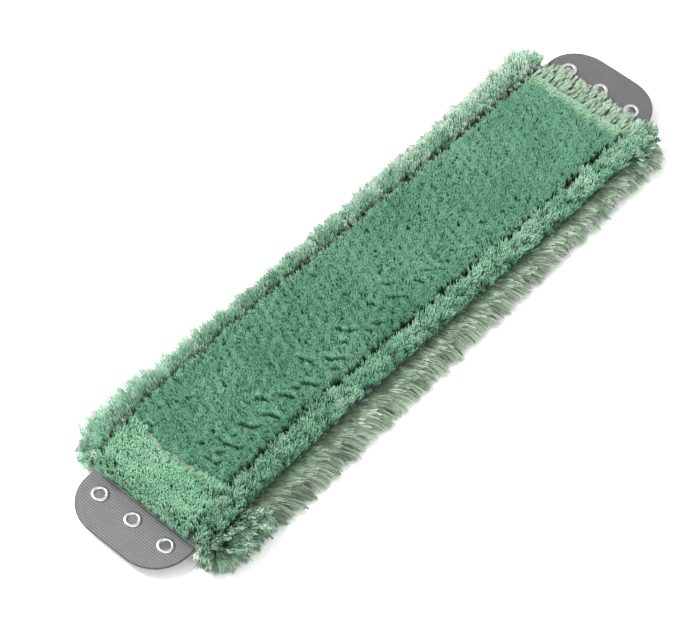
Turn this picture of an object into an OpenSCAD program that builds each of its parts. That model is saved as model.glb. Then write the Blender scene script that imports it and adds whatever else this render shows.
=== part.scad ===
// Flat mop head with cut pile, holder pockets and two eyelet tongues.
// It lies pile side up, with its back on z = 0 and the middle of its length and
// width at the origin. The front is the -X end, the rear is the +X end, and left is +Y.

/* [Body] */
// Length of the face cloth, without the tongues
body_l = 500; // [440:1:600]
// Width of the face cloth and the backing
cloth_w = 128; // [122:1:150]
// How far the backing stops short of the face cloth at each end
backing_inset = 4; // [3.5:0.5:8]

/* [Cloth layers] */
// Thickness of the pocket cloth
pocket_t = 1.2; // [0.8:0.1:2]
// Clear height of a pocket mouth when the holder is in it
pocket_gap = 4.6; // [4.4:0.1:8]
// Thickness of the sewn tapes
tape_t = 0.8; // [0.5:0.1:1]
// Thickness of the backing cloth
backing_t = 1.2; // [0.8:0.1:2]
// Thickness of the absorbent pad and of the tongue webbing
core_t = 1.8; // [1.4:0.1:2.2]
// Thickness of the face cloth
face_t = 1; // [0.6:0.1:2]

/* [Pile] */
// Pile height of the centre panel
centre_h = 13; // [8:1:18]
// Pile height of the two end panels
end_h = 14; // [8:1:18]
// Pile height of the two long side strips
side_h = 17; // [10:1:24]
// Distance from the middle to the front cross seam
front_seam_x = 209; // [180:1:212]
// Distance from the middle to the rear cross seam
rear_seam_x = 227; // [180:1:236]
// Distance from the middle to each long gutter
gutter_y = 43; // [34:1:45]
// Width of a gutter between two pile panels
gutter_w = 4; // [3:0.5:6]
// Width of a side strip where it is rooted
side_w = 13; // [6:1:13]
// Height of the fold at the front cross seam
front_seam_h = 7; // [2:1:12]
// Height of the roll at the rear cross seam
rear_seam_h = 10; // [2:1:12]
// Width of the fold at the front cross seam
front_seam_w = 4; // [2:1:8]
// Width of the roll at the rear cross seam
rear_seam_w = 8; // [2:1:8]
// How far the lower fringe reaches past the binding
fringe_reach = 12.2; // [8:0.2:20]

/* [Pockets] */
// Depth of a pocket from its mouth to its closed end
pocket_l = 106; // [70:1:130]
// Width of a pocket, outside its side walls
pocket_w = 111.6; // [96:0.2:112]
// Distance from the end of the face cloth to the closed end of a pocket
pocket_inset = 10; // [10:1:20]
// Width of the tape along a pocket mouth
mouth_tape_w = 6; // [4:1:12]

/* [Tongues] */
// Width of a tongue
tongue_w = 92; // [84:1:100]
// How far a tongue reaches past the face cloth
tongue_reach = 37; // [34:1:60]
// Radius of the tongue's two outer corners
tongue_corner_r = 29; // [10:1:32]
// Length of webbing sewn in between the cloths
root_l = 40; // [20:1:50]
// Space at the bend between the sewn-in webbing and the free webbing
bend_gap = 1.9; // [1.9:0.1:3]

/* [Eyelets] */
// Radius of an eyelet's clear hole
hole_r = 3.5; // [3:0.1:4.2]
// Distance between neighbouring eyelets
eyelet_pitch = 30; // [20:1:32]
// Distance from the tongue's free end to the row of eyelets
row_inset = 25; // [12:1:25]
// Radius of an eyelet's rolled flange
flange_r = 6.4; // [5.8:0.1:8]
// Height of the flange above the webbing
flange_h = 1.3; // [0.8:0.1:2]
// Wall thickness of the barrel
barrel_t = 0.4; // [0.3:0.05:0.6]
// Thickness of the washer under the webbing
washer_t = 0.7; // [0.4:0.1:1.2]

/* [Hidden] */
$fn = 64;

// Heights of the layers, from the floor up
backing_z = pocket_t + tape_t + pocket_gap;
core_z = backing_z + backing_t;
face_z = core_z + core_t;
pile_z = face_z + face_t;

body_x = body_l / 2;
backing_x = body_x - backing_inset;
pocket_end_x = body_x - pocket_inset;
pocket_mouth_x = pocket_end_x - pocket_l;
tongue_end_x = body_x + tongue_reach;
tongue_start_x = body_x + bend_gap;
eyelet_x = tongue_end_x - row_inset;
root_start_x = body_x - root_l;
cloth_y = cloth_w / 2;
strip_in_y = gutter_y + gutter_w / 2;
strip_out_y = strip_in_y + side_w;
panel_y = gutter_y - gutter_w / 2;
pad_margin = 5;             // space round the absorbent pad
binding_under_w = 8;        // binding width on the back
binding_over_w = 4;         // binding width on the pile side
thread_w = 0.8;             // width of a line of stitching
thread_h = 0.5;             // height of a line of stitching
skin = 0.1;                 // space between soft pieces that only touch
fringe_h = 4;               // height of the fringe where it is rooted
fringe_tip = 1.2;           // thickness of the fringe at its outer edge

pile_green = "mediumaquamarine";
fringe_green = "darkseagreen";
cloth_grey = "lightgray";

module block(x0, x1, y0, y1, z0, z1) {
    translate([x0, y0, z0]) cube([x1 - x0, y1 - y0, z1 - z0]);
}

// A cross-section in (y, z), run along X from -half to half
module run_along(points, half) {
    rotate([90, 0, 90]) translate([0, 0, -half]) linear_extrude(2 * half) polygon(points);
}

// Turns a piece made at the rear end round to the front end
module at_end(front) {
    mirror([front ? 1 : 0, 0, 0]) children();
}

// Turns a piece made on the left side over to the right side
module on_side(side) {
    mirror([0, side < 0 ? 1 : 0, 0]) children();
}

// ---- cloth layers ----

module backing_cloth() {
    color("whitesmoke") block(-backing_x, backing_x, -cloth_y, cloth_y, backing_z, core_z);
}

module face_cloth() {
    color("darkseagreen") block(-body_x, body_x, -cloth_y, cloth_y, face_z, pile_z);
}

module absorbent_pad() {
    x = root_start_x - pad_margin;
    y = cloth_y - pad_margin;
    color("white") block(-x, x, -y, y, core_z, face_z);
}

// Folded tape round the long edges of the two cloths
module edge_binding(side) {
    under = cloth_y - binding_under_w;
    over = cloth_y - binding_over_w;
    section = [
        [under, backing_z - tape_t], [cloth_y + tape_t, backing_z - tape_t],
        [cloth_y + tape_t, pile_z + tape_t], [over, pile_z + tape_t],
        [over, pile_z], [cloth_y, pile_z], [cloth_y, backing_z], [under, backing_z]
    ];
    color(cloth_grey) on_side(side) run_along(section, backing_x);
}

// ---- pile ----

module centre_pile() {
    x0 = front_seam_w / 2 + skin - front_seam_x;
    x1 = rear_seam_x - rear_seam_w / 2 - skin;
    color(pile_green) block(x0, x1, -panel_y, panel_y, pile_z, pile_z + centre_h);
}

module side_pile(side) {
    color(pile_green) on_side(side)
        block(-body_x, body_x, strip_in_y, strip_out_y, pile_z, pile_z + side_h);
}

module end_pile(front, seam_x, seam_w) {
    x0 = seam_x + seam_w / 2 + skin;
    color(pile_green) at_end(front)
        block(x0, body_x, -panel_y, panel_y, pile_z, pile_z + end_h);
}

// Lower fringe: rooted beside the side strip, it lies over the binding and runs
// out to the floor
module fringe(side) {
    over = cloth_y - binding_over_w - skin;
    tape_z = pile_z + tape_t + skin;
    edge_y = cloth_y + tape_t + skin;
    tip_y = edge_y + fringe_reach;
    bend_y = edge_y + fringe_reach / 3;
    section = [
        [strip_out_y + skin, pile_z], [over, pile_z], [over, tape_z], [edge_y, tape_z],
        [edge_y, core_z], [bend_y, 0], [tip_y, 0], [tip_y, fringe_tip],
        [bend_y + fringe_h, core_z], [edge_y + fringe_tip, tape_z + fringe_h / 2],
        [over, pile_z + fringe_h], [strip_out_y + skin, pile_z + fringe_h]
    ];
    color(fringe_green) on_side(side) run_along(section, backing_x);
}

// ---- seams and stitching ----

// Line of stitching on the face cloth, from one cross seam to the other
module gutter_seam(side) {
    t = thread_w / 2;
    x0 = front_seam_w / 2 - front_seam_x;
    x1 = rear_seam_x - rear_seam_w / 2;
    color("palegreen") on_side(side)
        block(x0, x1, gutter_y - t, gutter_y + t, pile_z, pile_z + thread_h);
}

// Raised fold or roll of ground cloth between the centre panel and an end panel
module cross_seam(front, seam_x, w, h) {
    color("palegoldenrod") at_end(front)
        block(seam_x - w / 2, seam_x + w / 2, -panel_y, panel_y, pile_z, pile_z + h);
}

// Two rows of stitches across the back, through the sewn-in webbing
module end_stitching(front) {
    color("white") at_end(front)
        for (step = [2, 5])
            block(pocket_end_x + step - thread_w, pocket_end_x + step,
                  -tongue_w / 2, tongue_w / 2, backing_z - thread_h, backing_z);
}

// ---- pockets ----

// Tray of cloth sewn to the back on three sides, open towards the middle
module pocket(front) {
    y = pocket_w / 2;
    color("gainsboro") at_end(front)
        difference() {
            block(pocket_mouth_x, pocket_end_x, -y, y, 0, backing_z);
            block(pocket_mouth_x - 1, pocket_end_x - pocket_t,
                  -y + pocket_t, y - pocket_t, pocket_t, backing_z + 1);
        }
}

// Tape along the mouth: over the cut edge and along the inside
module pocket_tape(front) {
    y = pocket_w / 2 - pocket_t - skin;
    x = pocket_mouth_x;
    color("seagreen") at_end(front) {
        block(x - tape_t, x, -y, y, 0, pocket_t + tape_t);
        block(x - tape_t, x + mouth_tape_w, -y, y, pocket_t, pocket_t + tape_t);
    }
}

// ---- tongues and eyelets ----

module tongue_root(front) {
    y = tongue_w / 2;
    color("gray") at_end(front) block(root_start_x, body_x, -y, y, core_z, face_z);
}

// Webbing tongue with two round outer corners and three barrel holes
module tongue(front) {
    y = tongue_w / 2;
    r = tongue_corner_r;
    color("gray") at_end(front)
        difference() {
            translate([0, 0, core_z]) linear_extrude(core_t) intersection() {
                translate([tongue_start_x, -y]) square([tongue_end_x - tongue_start_x, 2 * y]);
                union() {
                    translate([0, -y]) square([tongue_end_x - r, 2 * y]);
                    translate([0, r - y]) square([tongue_end_x, 2 * (y - r)]);
                    for (s = [-1, 1])
                        translate([tongue_end_x - r, s * (y - r)]) circle(r);
                }
            }
            for (k = [-1, 0, 1])
                translate([eyelet_x, k * eyelet_pitch, core_z - 1])
                    cylinder(r = hole_r + barrel_t, h = core_t + 2);
        }
}

// Places a piece at the eyelet k of one end: 1 left, 0 middle, -1 right
module at_eyelet(front, k) {
    translate([front ? -eyelet_x : eyelet_x, k * eyelet_pitch, 0]) children();
}

// Pressed eyelet: a barrel with a rolled flange on the pile side
module eyelet(front, k) {
    wall = hole_r + barrel_t;
    top = face_z + flange_h;
    lip = 0.4;
    profile = [
        [hole_r, core_z - washer_t], [wall, core_z - washer_t], [wall, face_z], [flange_r, face_z],
        [flange_r, face_z + lip], [flange_r - 2 * lip, top - lip / 2],
        [wall + 2 * lip, top], [wall, top - lip / 2], [hole_r, top - 2 * lip]
    ];
    color("silver") at_eyelet(front, k) rotate_extrude() polygon(profile);
}

// Flat ring that the barrel is set into, on the back of the tongue
module washer(front, k) {
    bore = hole_r + barrel_t;
    bevel = washer_t / 2;
    rim = flange_r - 0.6;
    profile = [
        [bore, core_z - washer_t], [rim - bevel, core_z - washer_t],
        [rim, core_z - bevel], [rim, core_z], [bore, core_z]
    ];
    color("silver") at_eyelet(front, k) rotate_extrude() polygon(profile);
}

backing_cloth();
face_cloth();
absorbent_pad();
centre_pile();
side_pile(1);  // side_pile_left
side_pile(-1);  // side_pile_right
end_pile(true, front_seam_x, front_seam_w);  // end_pile_front
end_pile(false, rear_seam_x, rear_seam_w);  // end_pile_rear
fringe(1);  // fringe_left
fringe(-1);  // fringe_right
edge_binding(1);  // edge_binding_left
edge_binding(-1);  // edge_binding_right
gutter_seam(1);  // gutter_seam_left
gutter_seam(-1);  // gutter_seam_right
cross_seam(true, front_seam_x, front_seam_w, front_seam_h);  // cross_seam_front
cross_seam(false, rear_seam_x, rear_seam_w, rear_seam_h);  // cross_seam_rear
pocket(true);  // pocket_front
pocket(false);  // pocket_rear
pocket_tape(true);  // pocket_tape_front
pocket_tape(false);  // pocket_tape_rear
tongue_root(true);  // tongue_root_front
tongue_root(false);  // tongue_root_rear
end_stitching(true);  // end_stitching_front
end_stitching(false);  // end_stitching_rear
tongue(true);  // tongue_front
tongue(false);  // tongue_rear
eyelet(true, 1);  // eyelet_front_left
eyelet(true, 0);  // eyelet_front_middle
eyelet(true, -1);  // eyelet_front_right
eyelet(false, 1);  // eyelet_rear_left
eyelet(false, 0);  // eyelet_rear_middle
eyelet(false, -1);  // eyelet_rear_right
washer(true, 1);  // washer_front_left
washer(true, 0);  // washer_front_middle
washer(true, -1);  // washer_front_right
washer(false, 1);  // washer_rear_left
washer(false, 0);  // washer_rear_middle
washer(false, -1);  // washer_rear_right
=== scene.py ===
# Looks of the flat mop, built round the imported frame. Lengths are in millimetres
# until a mesh is made.
import math
import bpy
import numpy as np
from collections import namedtuple
from numpy.random import default_rng
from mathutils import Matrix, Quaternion, Vector


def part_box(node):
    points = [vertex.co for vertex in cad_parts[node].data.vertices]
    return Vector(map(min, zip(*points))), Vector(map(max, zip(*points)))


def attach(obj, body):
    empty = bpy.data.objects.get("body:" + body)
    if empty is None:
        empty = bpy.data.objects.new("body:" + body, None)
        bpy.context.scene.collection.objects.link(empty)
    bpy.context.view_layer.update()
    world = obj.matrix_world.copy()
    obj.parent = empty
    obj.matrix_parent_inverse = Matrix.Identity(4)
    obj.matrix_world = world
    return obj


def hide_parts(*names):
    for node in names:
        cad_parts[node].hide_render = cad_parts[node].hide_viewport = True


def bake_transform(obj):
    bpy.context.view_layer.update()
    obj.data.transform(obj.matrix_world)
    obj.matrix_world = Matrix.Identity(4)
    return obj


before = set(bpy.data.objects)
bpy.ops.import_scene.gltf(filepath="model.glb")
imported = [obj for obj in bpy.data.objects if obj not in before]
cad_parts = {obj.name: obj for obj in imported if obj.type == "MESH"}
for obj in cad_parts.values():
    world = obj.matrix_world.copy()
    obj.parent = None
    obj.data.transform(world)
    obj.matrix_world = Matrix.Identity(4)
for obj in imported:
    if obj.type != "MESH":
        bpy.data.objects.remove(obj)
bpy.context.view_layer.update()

MM = 0.001
BODY = "mop_body"
ENDS = {"front": -1, "rear": 1}
SIDES = {"left": 1, "right": -1}
PLACES = ("left", "middle", "right")
MAX_TRIANGLES = 190000  # in one piece, since the exporter thins out anything over 200000


def node_box(node):
    """Lowest and highest corner of a CAD node, in millimetres."""
    low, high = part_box(node)
    return np.array(low) / MM, np.array(high) / MM


# ---- sizes read off the frame ----

_, FACE_HIGH = node_box("face_cloth")
BACK_LOW, BACK_HIGH = node_box("backing_cloth")
PAD_LOW, PAD_HIGH = node_box("absorbent_pad")
CENTRE_LOW, CENTRE_HIGH = node_box("centre_pile")
STRIP_LOW, STRIP_HIGH = node_box("side_pile_left")
FRINGE_LOW, FRINGE_HIGH = node_box("fringe_left")
BINDING_LOW, BINDING_HIGH = node_box("edge_binding_left")
TONGUE_LOW, TONGUE_HIGH = node_box("tongue_front")
BODY_X = FACE_HIGH[0]
CLOTH_Y = FACE_HIGH[1]
PILE_Z = FACE_HIGH[2]
PANEL_Y = CENTRE_HIGH[1]
FRONT_SEAM = CENTRE_LOW[0]
REAR_SEAM = CENTRE_HIGH[0]
CENTRE_H = CENTRE_HIGH[2] - PILE_Z
STRIP_H = STRIP_HIGH[2] - PILE_Z
TONGUE_Z = (TONGUE_LOW[2] + TONGUE_HIGH[2]) / 2


# ---- sizes that the frame doesn't hold ----

CLOTH_CORNER = 12.0    # radius of the cloths' corners
ROOT_DEPTH = 0.3       # how deep the tufts stand in the face cloth
TONGUE_CORNER = 29.0   # radius of a tongue's corners
RIB_PITCH = 1.9        # ribs of the webbing
WEFT_PITCH = 1.1       # threads that cross the ribs
EYELET_BORE = 3.5      # radius of an eyelet's hole
EYELET_WALL = 0.4
FUZZ_H = 1.8           # height of the fibres over a ridge
STITCH_PITCH = 3.4
THREAD_RADIUS = 0.32
MOUTH_Z = 1.35         # height of the middle of a pocket's mouth edge and of its tape

# The face was sewn and combed a little off square towards the left at the front
SEW_SHIFT = 9.0
COMB_FRONT = 0.34
COMB_REAR = 0.06


# ---- small numeric helpers ----

def smooth(low, high, value):
    """0 at low, 1 at high and an S curve in between; low may be the larger."""
    t = np.clip((value - low) / (high - low), 0.0, 1.0)
    return t * t * (3 - 2 * t)


def mix(a, b, t):
    return a + (b - a) * t


def wobble(x, y, size, seed):
    """Smooth seeded noise of about -1 to 1, with waves roughly size mm long."""
    rng = default_rng(seed)
    total = 0.0
    for _ in range(6):
        turn = rng.uniform(0, 2 * math.pi)
        start = rng.uniform(0, 2 * math.pi)
        rate = 2 * math.pi / (size * rng.uniform(0.7, 1.5))
        total = total + np.sin((x * math.cos(turn) + y * math.sin(turn)) * rate + start)
    return total / 2.6


def stack(*parts):
    """Numbers and arrays, spread to one shape and stacked along a new last axis."""
    return np.stack(np.broadcast_arrays(*parts), axis=-1)


def unit(vectors):
    return vectors / np.linalg.norm(vectors, axis=-1, keepdims=True)


def ground(x, y):
    """How far the cloth layers rise and dip from flat."""
    return 0.30 * wobble(x, y, 90, 11)


def sew_shift(x):
    """Sideways shift of the sewn panels at the lengthwise place x."""
    along = 1 - smooth(-150, 230, x)
    return SEW_SHIFT * along * mix(0.4, 1.0, smooth(-BODY_X, FRONT_SEAM, x))


def comb(x):
    """Sideways lean of the pile, as a slope, at the lengthwise place x."""
    return mix(COMB_FRONT, COMB_REAR, smooth(-200, 220, x))


def rooted(x, y, shift=0.0):
    """Points in the face cloth that tufts grow from, moved sideways by shift."""
    return stack(x, y + shift, PILE_Z - ROOT_DEPTH + ground(x, y))


# ---- meshes ----

def fill_mesh(mesh, points, faces):
    """Gives mesh the points and the faces, an array with 3 or 4 columns."""
    count, corners = faces.shape
    mesh.vertices.add(len(points))
    mesh.vertices.foreach_set("co", (points * MM).astype(np.float32).ravel())
    mesh.loops.add(count * corners)
    mesh.loops.foreach_set("vertex_index", faces.astype(np.int32).ravel())
    mesh.polygons.add(count)
    mesh.polygons.foreach_set("loop_start", np.arange(0, count * corners, corners, dtype=np.int32))
    mesh.update(calc_edges=True)
    mesh.validate()


def add_object(name, points, faces, material, uv=None, uv_name="OFBake"):
    """A mesh object; uv has one pair per point."""
    mesh = bpy.data.meshes.new(name)
    fill_mesh(mesh, points, faces)
    if uv is not None:
        layer = mesh.uv_layers.new(name=uv_name)
        layer.data.foreach_set("uv", uv[faces.ravel()].astype(np.float32).ravel())
    mesh.shade_smooth()
    mesh.materials.append(material)
    piece = bpy.data.objects.new(name, mesh)
    bpy.context.scene.collection.objects.link(piece)
    return piece


def fit_in(piece, body, slot, *nodes):
    """Piece that rides on one body; nodes are the CAD nodes it stands for."""
    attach(piece, body)
    if nodes:
        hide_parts(*nodes)


def bend_in(piece, end, slot, *nodes):
    """Piece whose world place is baked into its mesh, with the CAD nodes it stands for hidden."""
    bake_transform(piece)
    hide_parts(*nodes)


def grid_faces(rows, columns, close_columns=False):
    """Quads between the points of a grid laid out row by row."""
    r = np.arange(rows - 1)[:, None]
    c = np.arange(columns if close_columns else columns - 1)[None]
    d = (c + 1) % columns
    a, b = r * columns + c, r * columns + d
    return stack(a, b, b + columns, a + columns).reshape(-1, 4)


def wall_faces(rings, sides):
    """Triangles between closed rings of points."""
    quads = grid_faces(rings, sides, close_columns=True)
    return np.concatenate([quads[:, [0, 1, 2]], quads[:, [0, 2, 3]]])


def tube_faces(rings, sides, pointed_start):
    """Triangles of one tube: rings of points, then a tip; the start is a tip or a cap."""
    k = np.arange(sides)
    after = (k + 1) % sides
    last = (rings - 1) * sides
    tip = stack(last + k, last + after, rings * sides)
    if pointed_start:
        return 1 + np.concatenate([wall_faces(rings, sides), tip, stack(after, k, -1)])
    return np.concatenate([wall_faces(rings, sides), tip, stack(0, k + 1, k)[1:-1]])


def tubes(name, paths, radii, shade, material, sides=3, pointed_start=False):
    """One object of many closed tubes. paths is (tubes, points, 3), and the last point is
    each tube's tip. radii holds one radius per ring, and shade one number per tube."""
    count, points, _ = paths.shape
    first = 1 if pointed_start else 0
    rings = points - 1 - first
    axis = unit(paths[:, -1] - paths[:, 0])
    helper = np.where(np.abs(axis[:, 2:]) < 0.9, [[0.0, 0.0, 1.0]], [[1.0, 0.0, 0.0]])
    across = unit(np.cross(axis, helper))
    other = np.cross(axis, across)
    turn = np.arange(sides) * 2 * math.pi / sides
    spokes = across[:, None] * np.cos(turn)[:, None] + other[:, None] * np.sin(turn)[:, None]
    wall = paths[:, first:-1, None] + spokes[:, None] * np.asarray(radii)[None, :, None, None]
    parts = [wall.reshape(count, rings * sides, 3), paths[:, -1:]]
    if pointed_start:
        parts.insert(0, paths[:, :1])
    verts = np.concatenate(parts, axis=1)
    template = tube_faces(rings, sides, pointed_start)
    per_tube = verts.shape[1]
    faces = (template[None] + np.arange(count)[:, None, None] * per_tube).reshape(-1, 3)
    ring = np.repeat(np.arange(first, points - 1), sides)
    along = np.concatenate([np.zeros(first), ring, [points - 1]]) / (points - 1)
    slit = np.concatenate([np.zeros(first), np.tile(np.arange(sides), rings), [1]]) * 0.006
    uv = np.empty((count, per_tube, 2))
    uv[..., 0] = 0.01 + 0.98 * along
    uv[..., 1] = 0.01 + 0.95 * np.clip(shade, 0, 1)[:, None] + slit
    return add_object(name, verts.reshape(-1, 3), faces, material, uv.reshape(-1, 2))


def solid_sheet(name, top, bottom, material, uv=None):
    """Closed sheet between two grids of points, each (rows, columns, 3)."""
    rows, columns, _ = top.shape
    count = rows * columns
    faces = [grid_faces(rows, columns), grid_faces(rows, columns)[:, ::-1] + count]
    index = np.arange(count).reshape(rows, columns)
    loop = np.concatenate([index[0], index[1:, -1], index[-1, -2::-1], index[-2:0:-1, 0]])
    after = np.roll(loop, -1)
    faces.append(stack(after, loop, loop + count, after + count))
    points = np.concatenate([top.reshape(-1, 3), bottom.reshape(-1, 3)])
    return add_object(name, points, np.concatenate(faces), material, uv, "Weave")


def cloth_sheet(name, middle, thickness, material):
    """Sheet of the given thickness round the middle grid of points (rows, columns, 3)."""
    normal = unit(np.cross(*np.gradient(middle, axis=(0, 1))))
    normal = normal * np.sign(normal[..., 2:] + 1e-9)
    half = normal * thickness / 2
    return solid_sheet(name, middle + half, middle - half, material)


def span(low, high, step):
    return np.linspace(low, high, max(2, int(round((high - low) / step)) + 1))


def path_length(points):
    return float(np.linalg.norm(np.diff(points, axis=0), axis=1).sum())


def cut_size(middle):
    """Flat width and length, in metres, of a cloth whose middle grid runs along X by rows."""
    rows, columns, _ = middle.shape
    return path_length(middle[rows // 2]) * MM, path_length(middle[:, columns // 2]) * MM


# ---- materials ----

class Shader:
    """A material and the nodes that feed its Principled shader."""

    def __init__(self, name, roughness=0.8, metallic=0.0, sheen=0.0):
        self.material = bpy.data.materials.new(name)
        self.material.use_nodes = True
        self.tree = self.material.node_tree
        self.surface = self.tree.nodes["Principled BSDF"].inputs
        self.surface["Roughness"].default_value = roughness
        self.surface["Metallic"].default_value = metallic
        self.surface["Sheen Weight"].default_value = sheen

    def add(self, kind, inputs, **settings):
        """A node whose inputs are numbers, colours or the outputs of other nodes."""
        node = self.tree.nodes.new(kind)
        for key, value in settings.items():
            setattr(node, key, value)
        for key, value in inputs.items():
            if isinstance(value, bpy.types.NodeSocket):
                self.tree.links.new(value, node.inputs[key])
            else:
                node.inputs[key].default_value = (*value, 1.0) if isinstance(value, tuple) else value
        return node

    def math(self, operation, a, b=0.0):
        return self.add("ShaderNodeMath", {0: a, 1: b}, operation=operation).outputs[0]

    def blend(self, a, b, factor, mode="MIX"):
        inputs = {0: factor, 6: a, 7: b}
        return self.add("ShaderNodeMix", inputs, data_type="RGBA", blend_type=mode).outputs[2]

    def ramp(self, value, stops):
        node = self.add("ShaderNodeValToRGB", {0: value})
        elements = node.color_ramp.elements
        while len(elements) < len(stops):
            elements.new(0.5)
        for element, (place, colour) in zip(elements, stops):
            element.position = place
            element.color = (*colour, 1.0)
        return node.outputs[0]

    def noise(self, where, scale, detail=3.0):
        inputs = {"Vector": where, "Scale": scale, "Detail": detail}
        return self.add("ShaderNodeTexNoise", inputs).outputs["Fac"]

    def axes(self, vector):
        return self.add("ShaderNodeSeparateXYZ", {0: vector}).outputs

    def ribs(self, value, pitch):
        """Rounded ridges pitch mm apart."""
        wave = self.math("SINE", self.math("MULTIPLY", value, math.pi / (pitch * MM)))
        return self.math("ABSOLUTE", wave)

    def stained(self, tone, spots, darkest):
        """The tone, darker where the spots are low."""
        shade = self.ramp(spots, ((0.3, (darkest,) * 3), (0.7, (1.0,) * 3)))
        return self.blend(tone, shade, 1.0, "MULTIPLY")

    def place(self, layer=None):
        """Coordinates in a UV layer, or else the object's own."""
        if layer:
            return self.add("ShaderNodeUVMap", {}, uv_map=layer).outputs[0]
        return self.add("ShaderNodeTexCoord", {}).outputs["Object"]

    def colour(self, output):
        self.tree.links.new(output, self.surface["Base Color"])

    def rough(self, value, low, high):
        node = self.add("ShaderNodeMapRange", {"Value": value, "To Min": low, "To Max": high})
        self.tree.links.new(node.outputs[0], self.surface["Roughness"])

    def bump(self, height, depth_mm):
        inputs = {"Height": height, "Strength": 1.0, "Distance": depth_mm * MM}
        self.tree.links.new(self.add("ShaderNodeBump", inputs).outputs[0], self.surface["Normal"])


def strand_material(name, root, dark, mid, light):
    """Microfibre: the layer's U runs from a strand's root to its tip, and V is its shade. Towards its root
    each strand darkens to the root tone, which is partly the fibre's own colour and partly painted shade
    deep in the pile.
    """
    s = Shader(name, roughness=0.85, sheen=0.08)
    along, shade, _ = s.axes(s.place("OFBake"))
    tip = s.ramp(shade, ((0.0, dark), (0.5, mid), (1.0, light)))
    # darker towards the root: partly painted shade deep in the pile
    s.colour(s.blend(root, tip, along))
    return s.material


def weave_material(name, thread, gap, pitch, depth):
    """Plain weave: threads over and under each other, pitch mm apart."""
    s = Shader(name, sheen=0.15)
    place = s.place()
    x, y, _ = s.axes(place)
    check = s.add("ShaderNodeTexChecker", {"Vector": place, "Scale": 1 / (pitch * MM)})
    inputs = {0: check.outputs["Fac"], 2: s.ribs(x, pitch), 3: s.ribs(y, pitch)}
    over = s.add("ShaderNodeMix", inputs, data_type="FLOAT")
    height = over.outputs[0]
    stain = s.noise(place, 35.0)
    s.colour(s.stained(s.blend(gap, thread, height), stain, 0.72))
    s.rough(stain, 0.75, 0.93)
    s.bump(height, depth)
    return s.material


def rib_material(name, thread, gap, pitch, depth, axis=0, layer=None):
    """Ribbed tape: ribs pitch mm apart along one axis, and finer ones across them."""
    s = Shader(name, sheen=0.1)
    place = s.place(layer)
    out = s.axes(place)
    rib = s.ribs(out[axis], pitch)
    fine = s.ribs(out[1 - axis], pitch / 2)
    height = s.math("ADD", s.math("MULTIPLY", rib, 0.7), s.math("MULTIPLY", fine, 0.3))
    fleck = s.noise(place, 220.0)
    s.colour(s.stained(s.blend(gap, thread, height), fleck, 0.8))
    s.rough(fleck, 0.6, 0.85)
    s.bump(height, depth)
    return s.material


def grain_material(name, colour, darkest, scale, detail, depth, **surface):
    """One colour, as dark as darkest times it where a fine raised grain is low."""
    s = Shader(name, **surface)
    grain = s.noise(s.place(), scale, detail)
    s.colour(s.blend(tuple(darkest * c for c in colour), colour, grain))
    s.bump(grain, depth)
    return s.material


def thread_material(name, colour):
    return grain_material(name, colour, 0.6, 900.0, 3.0, 0.1, roughness=0.6, sheen=0.1)


def metal_material(name):
    """Bright nickel plate with handling marks."""
    s = Shader(name, roughness=0.2, metallic=1.0)
    marks = s.noise(s.place(), 600.0, 5.0)
    s.colour(s.blend((0.46, 0.46, 0.45), (0.68, 0.68, 0.67), marks))
    s.rough(marks, 0.22, 0.38)
    s.bump(marks, 0.01)
    return s.material


# Root, dark, middle and light tone of each fibre; the root tone is partly painted shade deep in the pile
TONES = {
    "centre_microfibre": ((0.035, 0.18, 0.12), (0.15, 0.36, 0.23), (0.22, 0.49, 0.32), (0.36, 0.62, 0.45)),
    "strip_microfibre": ((0.04, 0.13, 0.085), (0.12, 0.33, 0.21), (0.30, 0.63, 0.41), (0.72, 0.92, 0.75)),
    "pale_strip_microfibre": (
        (0.04, 0.12, 0.08), (0.13, 0.31, 0.205), (0.31, 0.60, 0.41), (0.76, 0.92, 0.78)),
    "end_microfibre": ((0.08, 0.26, 0.17), (0.30, 0.64, 0.41), (0.46, 0.80, 0.54), (0.66, 0.90, 0.70)),
    "end_yarn": ((0.07, 0.15, 0.09), (0.22, 0.34, 0.24), (0.36, 0.48, 0.36), (0.54, 0.64, 0.52)),
    "front_seam_fluff": ((0.22, 0.36, 0.24), (0.30, 0.48, 0.32), (0.46, 0.62, 0.45), (0.62, 0.74, 0.58)),
    "rear_seam_fluff": ((0.18, 0.34, 0.22), (0.26, 0.48, 0.31), (0.38, 0.62, 0.43), (0.54, 0.74, 0.56)),
    "corner_yarn": ((0.012, 0.04, 0.025), (0.05, 0.13, 0.08), (0.25, 0.48, 0.31), (0.78, 0.92, 0.76)),
    "fringe_microfibre": ((0.05, 0.07, 0.04), (0.12, 0.20, 0.12), (0.40, 0.55, 0.40), (0.74, 0.86, 0.72)),
}
FIBRE = {name: strand_material(name, *tones) for name, tones in TONES.items()}
GROUND_CLOTH = weave_material("ground_cloth", (0.30, 0.38, 0.27), (0.10, 0.16, 0.10), 1.3, 0.25)
SEAM_CLOTH = {
    "front": weave_material("front_seam_cloth", (0.40, 0.45, 0.31), (0.24, 0.30, 0.20), 1.0, 0.25),
    "rear": weave_material("rear_seam_cloth", (0.30, 0.50, 0.33), (0.18, 0.36, 0.23), 1.0, 0.25),
}
BACKING_CLOTH = weave_material("backing_cloth", (0.62, 0.63, 0.61), (0.36, 0.37, 0.36), 1.1, 0.2)
POCKET_CLOTH = weave_material("pocket_cloth", (0.50, 0.51, 0.50), (0.26, 0.27, 0.26), 0.8, 0.18)
BINDING_TAPE = rib_material("binding_tape", (0.24, 0.31, 0.24), (0.10, 0.14, 0.10), 1.2, 0.15)
MOUTH_TAPE = rib_material("mouth_tape", (0.10, 0.36, 0.22), (0.03, 0.14, 0.08), 1.0, 0.15, axis=1)
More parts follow.
